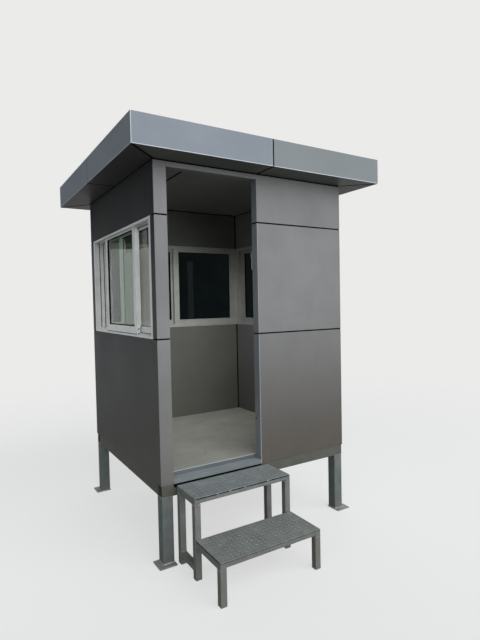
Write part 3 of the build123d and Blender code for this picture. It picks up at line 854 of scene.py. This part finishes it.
def new_rule(name, sizes):
    """A geometry node tree that takes a mesh and one named number for each size."""
    rule = bpy.data.node_groups.new(name, "GeometryNodeTree")
    rule.interface.new_socket("Geometry", in_out="INPUT", socket_type="NodeSocketGeometry")
    for title in sizes:
        rule.interface.new_socket(title, in_out="INPUT", socket_type="NodeSocketFloat")
    rule.interface.new_socket("Geometry", in_out="OUTPUT", socket_type="NodeSocketGeometry")
    return rule, add(rule, "NodeGroupInput").outputs


def end_rule(rule, points, shape, rotation, scale, finish):
    """Put the shape on the points, make the copies real and give them their finish."""
    placed = add(rule, "GeometryNodeInstanceOnPoints",
                 {"Points": points, "Instance": shape, "Rotation": rotation, "Scale": scale})
    real = add(rule, "GeometryNodeRealizeInstances", {"Geometry": placed.outputs[0]})
    smooth = add(rule, "GeometryNodeSetShadeSmooth", {"Geometry": real.outputs[0]})
    coated = add(rule, "GeometryNodeSetMaterial", {"Geometry": smooth.outputs[0], "Material": finish})
    add(rule, "NodeGroupOutput", {"Geometry": coated.outputs[0]})


def sized(rule, x, y, z):
    """A vector of three numbers or sockets."""
    return add(rule, "ShaderNodeCombineXYZ", {0: x, 1: y, 2: z}).outputs[0]


def scattered(rule, reach, seed):
    """A random vector for every point, up to a reach each way, from a fixed seed."""
    return add(rule, "FunctionNodeRandomValue", {0: (-reach,) * 3, 1: (reach,) * 3, "Seed": seed},
               data_type="FLOAT_VECTOR").outputs[0]


def varied(rule, value, low, high, seed):
    """A value times a random share for every point, from a fixed seed."""
    share = add(rule, "FunctionNodeRandomValue", {2: low, 3: high, "Seed": seed}, data_type="FLOAT")
    return worked(rule, "MULTIPLY", value, share.outputs[1])


def cone(rule, corners, top, bottom, high):
    """A cone's mesh with so many corners."""
    return add(rule, "GeometryNodeMeshCone", {"Vertices": corners, "Radius Top": top, "Radius Bottom": bottom,
                                              "Depth": high}).outputs["Mesh"]


def steps_along(rule, sizes):
    """Points along a path, one at each step."""
    route = add(rule, "GeometryNodeMeshToCurve", {"Mesh": sizes["Geometry"]}).outputs[0]
    return add(rule, "GeometryNodeResampleCurve", {"Curve": route, "Length": sizes["Step"]},
               mode="LENGTH").outputs[0]


def stand_out(rule, points, shape, across, high, finish, sway=None):
    """End a rule that stands a round shape on each point, out along the way that the point faces."""
    way = add(rule, "GeometryNodeInputNamedAttribute", {"Name": "facing"},
              data_type="FLOAT_VECTOR").outputs["Attribute"]
    if sway:
        way = add(rule, "ShaderNodeVectorMath", {0: way, 1: sway}, operation="ADD").outputs[0]
    turned = add(rule, "FunctionNodeAlignRotationToVector", {"Vector": way}, axis="Z").outputs[0]
    end_rule(rule, points, shape, turned, sized(rule, across, across, high), finish)


print("ready: new_rule, end_rule and the steps between them")

# %% Helpers that run a rule on points or paths


def grow(name, base, rule, sizes):
    """Run a rule on a base mesh and keep its result as a plain piece."""
    planted = in_scene(f"{name}_base", base)
    step = planted.modifiers.new("rule", "NODES")
    step.node_group = rule
    for item in rule.interface.items_tree:
        if item.in_out == "INPUT" and item.name in sizes:
            step[item.identifier] = sizes[item.name]
    bpy.context.view_layer.update()
    result = planted.evaluated_get(bpy.context.evaluated_depsgraph_get())
    mesh = bpy.data.meshes.new_from_object(result)
    mesh.name = name
    bpy.data.objects.remove(planted)
    return put_in_scene(name, mesh, None)


def base_mesh(name, points, edges=(), facings=None):
    """A mesh of points and edges, with the way that each point faces where that is given."""
    mesh = bpy.data.meshes.new(name)
    mesh.from_pydata([tuple(point) for point in points], list(edges), [])
    if facings:
        mesh.attributes.new("facing", "FLOAT_VECTOR", "POINT")
        mesh.attributes["facing"].data.foreach_set("vector", [value for way in facings for value in way])
    return mesh


def path_mesh(name, paths, facings=None):
    """A mesh of open paths, each a list of points joined by edges."""
    points, edges = [], []
    for path in paths:
        edges += [(len(points) + place, len(points) + place + 1) for place in range(len(path) - 1)]
        points += path
    return base_mesh(name, points, edges, facings)


print("ready: grow, base_mesh and path_mesh")

# %% [markdown]
# ## Chequer plate on the treads
#
# The treads are steel chequer plate. Its raised bars are rolled in at a pitch of about 30 mm,
# each turned a quarter against its neighbours. A bump map would vanish at the plate's edge, so
# the bars are real: squashed spheres, with the upper half above the plate. Feet have worn them,
# so each bar's height varies a little.

# %% Worn steel with painted glints for the tops of the bars
# The tops are worn bright, and painted paler still: painted glints.
worn_glint_steel = speckled("walked_steel_painted_glints", (24.0, 6.0, 0.7),
                        ((0.38, "#838b8d"), (0.56, "#9fa7a9"), (0.7, "#b9c0c1")),
                        {"Metallic": 0.15, "Roughness": 0.4})
print("made", worn_glint_steel.name)

# %% Raise the bars on both treads
rule, sizes = new_rule("chequer_bars", ["Width", "Depth", "Pitch", "Bar length", "Bar width", "Bar height"])
pitch = sizes["Pitch"]
counts = [worked(rule, "FLOOR", worked(rule, "DIVIDE", sizes[way], pitch)) for way in ("Width", "Depth")]
columns, rows = counts
wide, deep = [worked(rule, "MULTIPLY", worked(rule, "ADD", count, -1.0), pitch) for count in counts]
lattice = add(rule, "GeometryNodeMeshGrid",
              {"Size X": wide, "Size Y": deep, "Vertices X": columns, "Vertices Y": rows})
laid = add(rule, "GeometryNodeInstanceOnPoints",
           {"Points": sizes["Geometry"], "Instance": lattice.outputs["Mesh"]})
laid = add(rule, "GeometryNodeRealizeInstances", {"Geometry": laid.outputs[0]})
number = add(rule, "GeometryNodeInputIndex").outputs[0]
column = worked(rule, "FLOOR", worked(rule, "DIVIDE", number, rows))
row = worked(rule, "FLOORED_MODULO", number, rows)
odd = worked(rule, "FLOORED_MODULO", worked(rule, "ADD", column, row), 2.0)
turned = sized(rule, 0.0, 0.0, worked(rule, "MULTIPLY_ADD", odd, math.pi / 2, math.pi / 4))
height = varied(rule, sizes["Bar height"], 0.55, 1.0, 7)
halves = [worked(rule, "MULTIPLY", sizes[way], 0.5) for way in ("Bar length", "Bar width")]
bar = add(rule, "GeometryNodeMeshUVSphere", {"Segments": 8, "Rings": 4, "Radius": 1.0}).outputs["Mesh"]
end_rule(rule, laid.outputs[0], bar, turned, sized(rule, *halves, height), worn_glint_steel)

rim = 0.012
for level in ("upper", "lower"):
    low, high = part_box(f"tread_{level}")
    centre = Vector(((low.x + high.x) / 2, (low.y + high.y) / 2, high.z - 0.0001))
    bars = grow(f"tread_{level}_bars", base_mesh("tread_centre", [centre]), rule,
                {"Width": high.x - low.x - rim, "Depth": high.y - low.y - rim, "Pitch": 0.030,
                 "Bar length": 0.025, "Bar width": 0.0065, "Bar height": 0.0016})
    print(bars.name, len(bars.data.polygons), "faces")

# %% [markdown]
# ## Weld beads
#
# A hand weld is a row of overlapping blobs, uneven in size. A path along each joint is cut into
# steps of about 4 mm, and every step gets a blob with its own scale. They show round the feet of
# the legs, under the beams, and where the stair's tubes meet.

# %% Bare weld metal
weld_metal = speckled("brushed_weld_metal", (40.0, 4.0),
                      ((0.35, "#77726b"), (0.5, "#a9aaa6"), (0.68, "#dcddd8")),
                      {"Metallic": 0.2, "Roughness": 0.55})
print("made", weld_metal.name)

# %% Weld the legs
rule, sizes = new_rule("weld_bead", ["Step", "Bead"])
blob = add(rule, "GeometryNodeMeshIcoSphere", {"Radius": 1.0, "Subdivisions": 1}).outputs["Mesh"]
lump = varied(rule, sizes["Bead"], 0.7, 1.3, 3)
end_rule(rule, steps_along(rule, sizes), blob, scattered(rule, 3.0, 5), lump, weld_metal)


def ring_round(low, high, level_z):
    """A closed path round a box's footprint at one height."""
    return [Vector((x, y, level_z)) for x, y in
            ((low.x, low.y), (high.x, low.y), (high.x, high.y), (low.x, high.y), (low.x, low.y))]


foot_welds, head_welds = [], []
for corner in ("front_left", "front_right", "back_left", "back_right"):
    low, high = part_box(f"leg_{corner}")
    foot_welds.append(ring_round(low, high, low.z))
    head_welds.append(ring_round(low, high, high.z))
grow("foot_welds", path_mesh("foot_paths", foot_welds), rule, {"Step": 0.0042, "Bead": 0.0036})
grow("beam_welds", path_mesh("head_paths", head_welds), rule, {"Step": 0.004, "Bead": 0.0018})
print("paths round the legs:", len(foot_welds + head_welds))

# %% Weld the stair
step_low, step_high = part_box("step_frame_upper")
lower_low, lower_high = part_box("step_frame_lower")
tube = side_rail = 0.040
set_back = 0.0024
brace_low, brace_high = 0.050, 0.080
upper_rail, lower_rail = step_high.z - side_rail, lower_high.z - side_rail
stair_paths = []
for x in (step_low.x, step_high.x - tube):
    for y in (step_low.y, step_high.y - tube):
        stair_paths.append(ring_round(Vector((x, y, 0)), Vector((x + tube, y + tube, 0)), upper_rail))
    stair_paths.append(ring_round(Vector((x, lower_low.y + set_back, 0)),
                                  Vector((x + tube, lower_low.y + tube, 0)), lower_rail))
    stair_paths.append([Vector((corner_x, step_low.y, z)) for corner_x, z in (
        (x, lower_high.z), (x, lower_rail), (x + tube, lower_rail), (x + tube, lower_high.z))])
    for y in (step_low.y + tube, step_high.y - tube):
        stair_paths.append([Vector((corner_x, y, z)) for corner_x, z in (
            (x, brace_low), (x, brace_high), (x + tube, brace_high), (x + tube, brace_low), (x, brace_low))])
grow("stair_welds", path_mesh("stair_weld_paths", stair_paths), rule,
     {"Step": 0.0036, "Bead": 0.0017})
print("paths on the stair:", len(stair_paths))

# %% [markdown]
# ## Screws and small marks
#
# Each screw is a low cone on a washer, turned to face out of its sheet. The direction is kept on
# every point as an attribute that the rule reads, so one rule serves windows and roof.

# %% Set the screws
rule, sizes = new_rule("screw_heads", ["Head", "Height", "Washer"])
whole = add(rule, "GeometryNodeJoinGeometry")
for part in (cone(rule, 12, 0.7, 1.0, 1.0), cone(rule, 16, sizes["Washer"], sizes["Washer"], 0.35)):
    rule.links.new(part, whole.inputs["Geometry"])
stand_out(rule, sizes["Geometry"], whole.outputs[0], sizes["Head"], sizes["Height"], zinc)

jamb_face = 0.026
head_out = 0.008
points, facings = [], []
for side, (start, end) in window_span.items():
    run = wall_frames[side][1]
    for end, way in ((start + jamb_face, run), (end - jamb_face, -run)):
        for over_sill, into in ((0.0885, 0.0487), (0.648, 0.0515)):
            points.append(on_wall(side, end, window_bottom + over_sill, into) + way * head_out)
            facings.append(way)
grow("jamb_screws", base_mesh("jamb_points", points, facings=facings), rule,
     {"Head": 0.0042, "Height": 0.0016, "Washer": 1.0})

roof_low, roof_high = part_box("roof_sheet")
rib_pitch, roof_fall, sunk = 0.190, 0.030, 0.0004
rows_of_screws = 5
rib_count = int((roof_high.x - roof_low.x) / rib_pitch)
first_rib = (roof_low.x + roof_high.x) / 2 - (rib_count - 1) / 2 * rib_pitch
shares = [(number + 0.5) / rows_of_screws for number in range(rows_of_screws)]
points = [Vector((first_rib + number * rib_pitch, roof_low.y + share * (roof_high.y - roof_low.y),
                  roof_high.z - share * roof_fall - sunk)) for number in range(rib_count) for share in shares]
grow("roof_screws", base_mesh("roof_points", points, facings=[up] * len(points)), rule,
     {"Head": 0.0045, "Height": 0.004, "Washer": 1.9})
print("screws: windows and roof")

# %% [markdown]
# ## Brush pile in the window channels
#
# Sliding windows close on a strip of pile in each channel, a dark fuzzy line. A backing strip
# carries it, and short bristles stand on the strip every few millimetres. A bristle is a thin
# cone on its point, turned as a screw is and swayed a little at random.

# %% Lay the pile
pile_fibre = speckled("dusty_grey_pile", (300.0, 3.0), ((0.35, "#3a3a38"), (0.65, "#63635f")),
                      {"Roughness": 0.95, "Specular IOR Level": 0.1})
rule, sizes = new_rule("brush_pile", ["Step", "Bristle", "Height"])
stand_out(rule, steps_along(rule, sizes), cone(rule, 4, 0.3, 1.0, 1.0), sizes["Bristle"], sizes["Height"],
          pile_fibre, scattered(rule, 0.25, 11))


def sash_ends(side, deeper_than, less_than):
    """How far along its wall a sash starts and ends, from its corners at some depth in the wall."""
    corner, run, inward = wall_frames[side]
    corners = [vertex.co - corner for vertex in frame["nodes"][f"window_sashes_{side}"].data.vertices]
    alongs = [point.dot(run) for point in corners if deeper_than < point.dot(inward) < less_than]
    return min(alongs), max(alongs)


shape = bmesh.new()
paths, path_facings = [], []
channel_depths, bristle_rows = (0.0410, 0.0760), (-0.0015, 0.0015)
pile_foot, pile_head, strip_width, strip_depth = 0.032, 0.024, 0.006, 0.0012
outer_sash, inner_sash = (0.01, 0.03), (0.07, 0.09)
slit_width, slit_depth, slit_end = 0.0012, 0.004, 0.002
for side, (start, end) in window_span.items():
    corner, run, inward = wall_frames[side]
    for end, way in ((start + jamb_face, run), (end - jamb_face, -run)):
        for into in channel_depths:
            low_end = on_wall(side, end, window_bottom + pile_foot, into)
            high_end = on_wall(side, end, window_top - pile_head, into)
            seal_strip(shape, low_end + way * strip_depth, high_end + way * strip_depth, inward, way,
                       strip_width, strip_depth)
            for shift in bristle_rows:
                paths.append([low_end + inward * shift, high_end + inward * shift])
                path_facings += [way, way]
    # Black strips with pile on them, in the slit under the outer sash and over and under the inner one, paint
    # the shadow in those slits
    for depths, level_z, into, way in ((outer_sash, window_bottom + 0.012, 0.0187, up),
                                       (inner_sash, window_top - 0.020, 0.0537, -up),
                                       (inner_sash, window_bottom + 0.020, 0.0537, up)):
        low_end, high_end = sash_ends(side, *depths)
        start, end = [on_wall(side, along, level_z, into)
                      for along in (low_end + slit_end, high_end - slit_end)]
        seal_strip(shape, start + way * slit_depth, end + way * slit_depth, inward, way, slit_width,
                   slit_depth)
        paths.append([start, end])
        path_facings += [way, way]
print("paths for bristles:", len(paths))

# %% Set the glazing wedges and grow the pile
# Black wedges of rubber hold the left window's outer pane in its sash: over, under and beside it. Drawn wide,
# they also paint the shade along the pane's edges
stile, bottom_rail, wedge_depth = 0.052, 0.063, 0.0192
sash_start, sash_end = sash_ends("left", *outer_sash)
near, far = sash_start + stile, sash_end - stile
pane_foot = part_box("window_sashes_left")[0].z + bottom_rail
for start, end, across, width in (
        ((near, outer_rail_edge - 0.003), (far, outer_rail_edge - 0.003), up, 0.007),
        ((near, pane_foot + 0.003), (far, pane_foot + 0.003), up, 0.008),
        ((near + 0.006, pane_foot), (near + 0.006, outer_rail_edge), -north, 0.012)):
    seal_strip(shape, on_wall("left", *start, wedge_depth), on_wall("left", *end, wedge_depth), across,
               -east, width, 0.004)
bmesh.ops.recalc_face_normals(shape, faces=shape.faces)
dressed["pile_backing"] = keep_shape("pile_backing", shape, pile_fibre)
coat_faces("pile_backing", rubber, lambda way, at: (
    at.z > window_top - 0.028 or at.z < window_bottom + 0.0205 or at.x < left + 0.03))
pile = grow("brush_pile", path_mesh("pile_paths", paths, path_facings), rule,
            {"Step": 0.003, "Bristle": 0.0011, "Height": 0.0046})
print("pile faces:", len(pile.data.polygons))

# %% [markdown]
# ## Nosing at the floor's front edge
#
# The board ends in an aluminium angle: an upright leg in a darker coat, painted shade, and a lip
# in a near-white coat, a painted highlight. Two plain boxes make it. Under the sill a black strip
# closes the slit that would let light through, and paints the shadow in it.

# %% Fit the floor nosing


def boxes(name, corners, finish, fold=0.0):
    """A piece made of boxes, each from two opposite corners, with folded edges where asked."""
    shape = bmesh.new()
    for low, high in corners:
        low, high = Vector(low), Vector(high)
        stretch = Matrix.LocRotScale((low + high) / 2, None, high - low)
        bmesh.ops.create_cube(shape, size=1, matrix=stretch)
    if fold:
        bmesh.ops.bevel(shape, geom=shape.edges, offset=fold, segments=2, affect="EDGES")
    return keep_shape(name, shape, finish)


board_low, board_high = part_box("floor_board")
sill_low, sill_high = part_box("door_sill")
nose_start, nose_end = left + wall + 0.001, reveal_x - 0.001
angle_steel, lip = 0.0016, 0.009
nose_front = board_low.y - angle_steel
boxes("floor_nosing_leg", [((nose_start, nose_front, sill_high.z), (nose_end, board_low.y, board_high.z))],
      riser_shade_composite)
boxes("floor_nosing_lip", [((nose_start, nose_front, board_high.z),
                            (nose_end, board_low.y + lip, board_high.z + angle_steel))],
      painted_highlight, 0.0006)
print("nosing at height", round(board_high.z, 3))

# %% Close the gap under the sill
beam_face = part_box("beam_front")[0].y
tread_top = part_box("tread_upper")[1].z
# The black strip also paints the shadow in the gap.
boxes("sill_gap_painted_shadow", [((nose_start, sill_low.y + 0.0012, tread_top - 0.012),
                         (nose_end, beam_face, sill_low.z + 0.0004))], rubber)
print("gap under the sill:", round(sill_low.z - tread_top, 4), "m high,",
      round(beam_face - sill_low.y, 4), "m deep")

# %% [markdown]
# ## Rubber under the treads, and small marks
#
# Strips of black rubber under the treads show at their front and left edges as a broken black
# line: painted shadow of the gap under each plate. The fitters also left a few holes: a strike
# hole in the doorway's side, screw holes in the left window's sash, a dark chip on the floor.
# Each mark is a thin disc, turned as a screw is.

# %% Lay the rubber strips of painted shadow and set the marks
# Each broken line: its runs as shares of the tread's width, its thickness, and how far its face
# stands from the frame's front
edge_lines = {
    "upper": ([(0.01, 0.21), (0.23, 0.33), (0.36, 0.49), (0.52, 0.74), (0.77, 0.99)], 0.0055, -0.0010),
    "lower": ([(0.0, 0.34), (0.35, 0.62), (0.64, 1.0)], 0.00275, 0.0002),
}
strips = []
squeezed, covered_edge, end_gap = 0.0006, 0.006, 0.004
for level, (spans, thick, stands) in edge_lines.items():
    low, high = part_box(f"tread_{level}")
    frame_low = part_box(f"step_frame_{level}")[0]
    strips += [((low.x + start * (high.x - low.x), frame_low.y + stands, low.z - thick),
                (low.x + end * (high.x - low.x), frame_low.y + covered_edge, low.z + squeezed))
               for start, end in spans]
strips.append(((frame_low.x - 0.0004, low.y + end_gap, low.z - 0.0014),
               (frame_low.x + covered_edge, high.y - end_gap, low.z + squeezed)))
boxes("tread_painted_shadow_strips", strips, rubber)

rule, sizes = new_rule("dark_marks", ["Radius", "Proud"])
stand_out(rule, sizes["Geometry"], cone(rule, 14, 0.9, 1.0, 1.0), sizes["Radius"], sizes["Proud"], rubber)
sash_side = back - sash_end
marks = [
    ((left + 0.0317, sash_side, 1.4724), (0, -1, 0)),
    ((left + 0.0320, sash_side, 1.4390), (0, -1, 0)),
    ((left + 0.0195, front + 1.088, 1.4290), (-1, 0, 0)),
    ((reveal_x, front + 0.050, 0.8180), (-1, 0, 0)),
    ((left + 0.4700, front + 0.3050, board_high.z), (0, 0, 1)),
]
points, facings = zip(*marks)
grow("fitters_marks", base_mesh("mark_points", points, facings=facings), rule,
     {"Radius": 0.0056, "Proud": 0.0005})
print("marks:", len(marks))
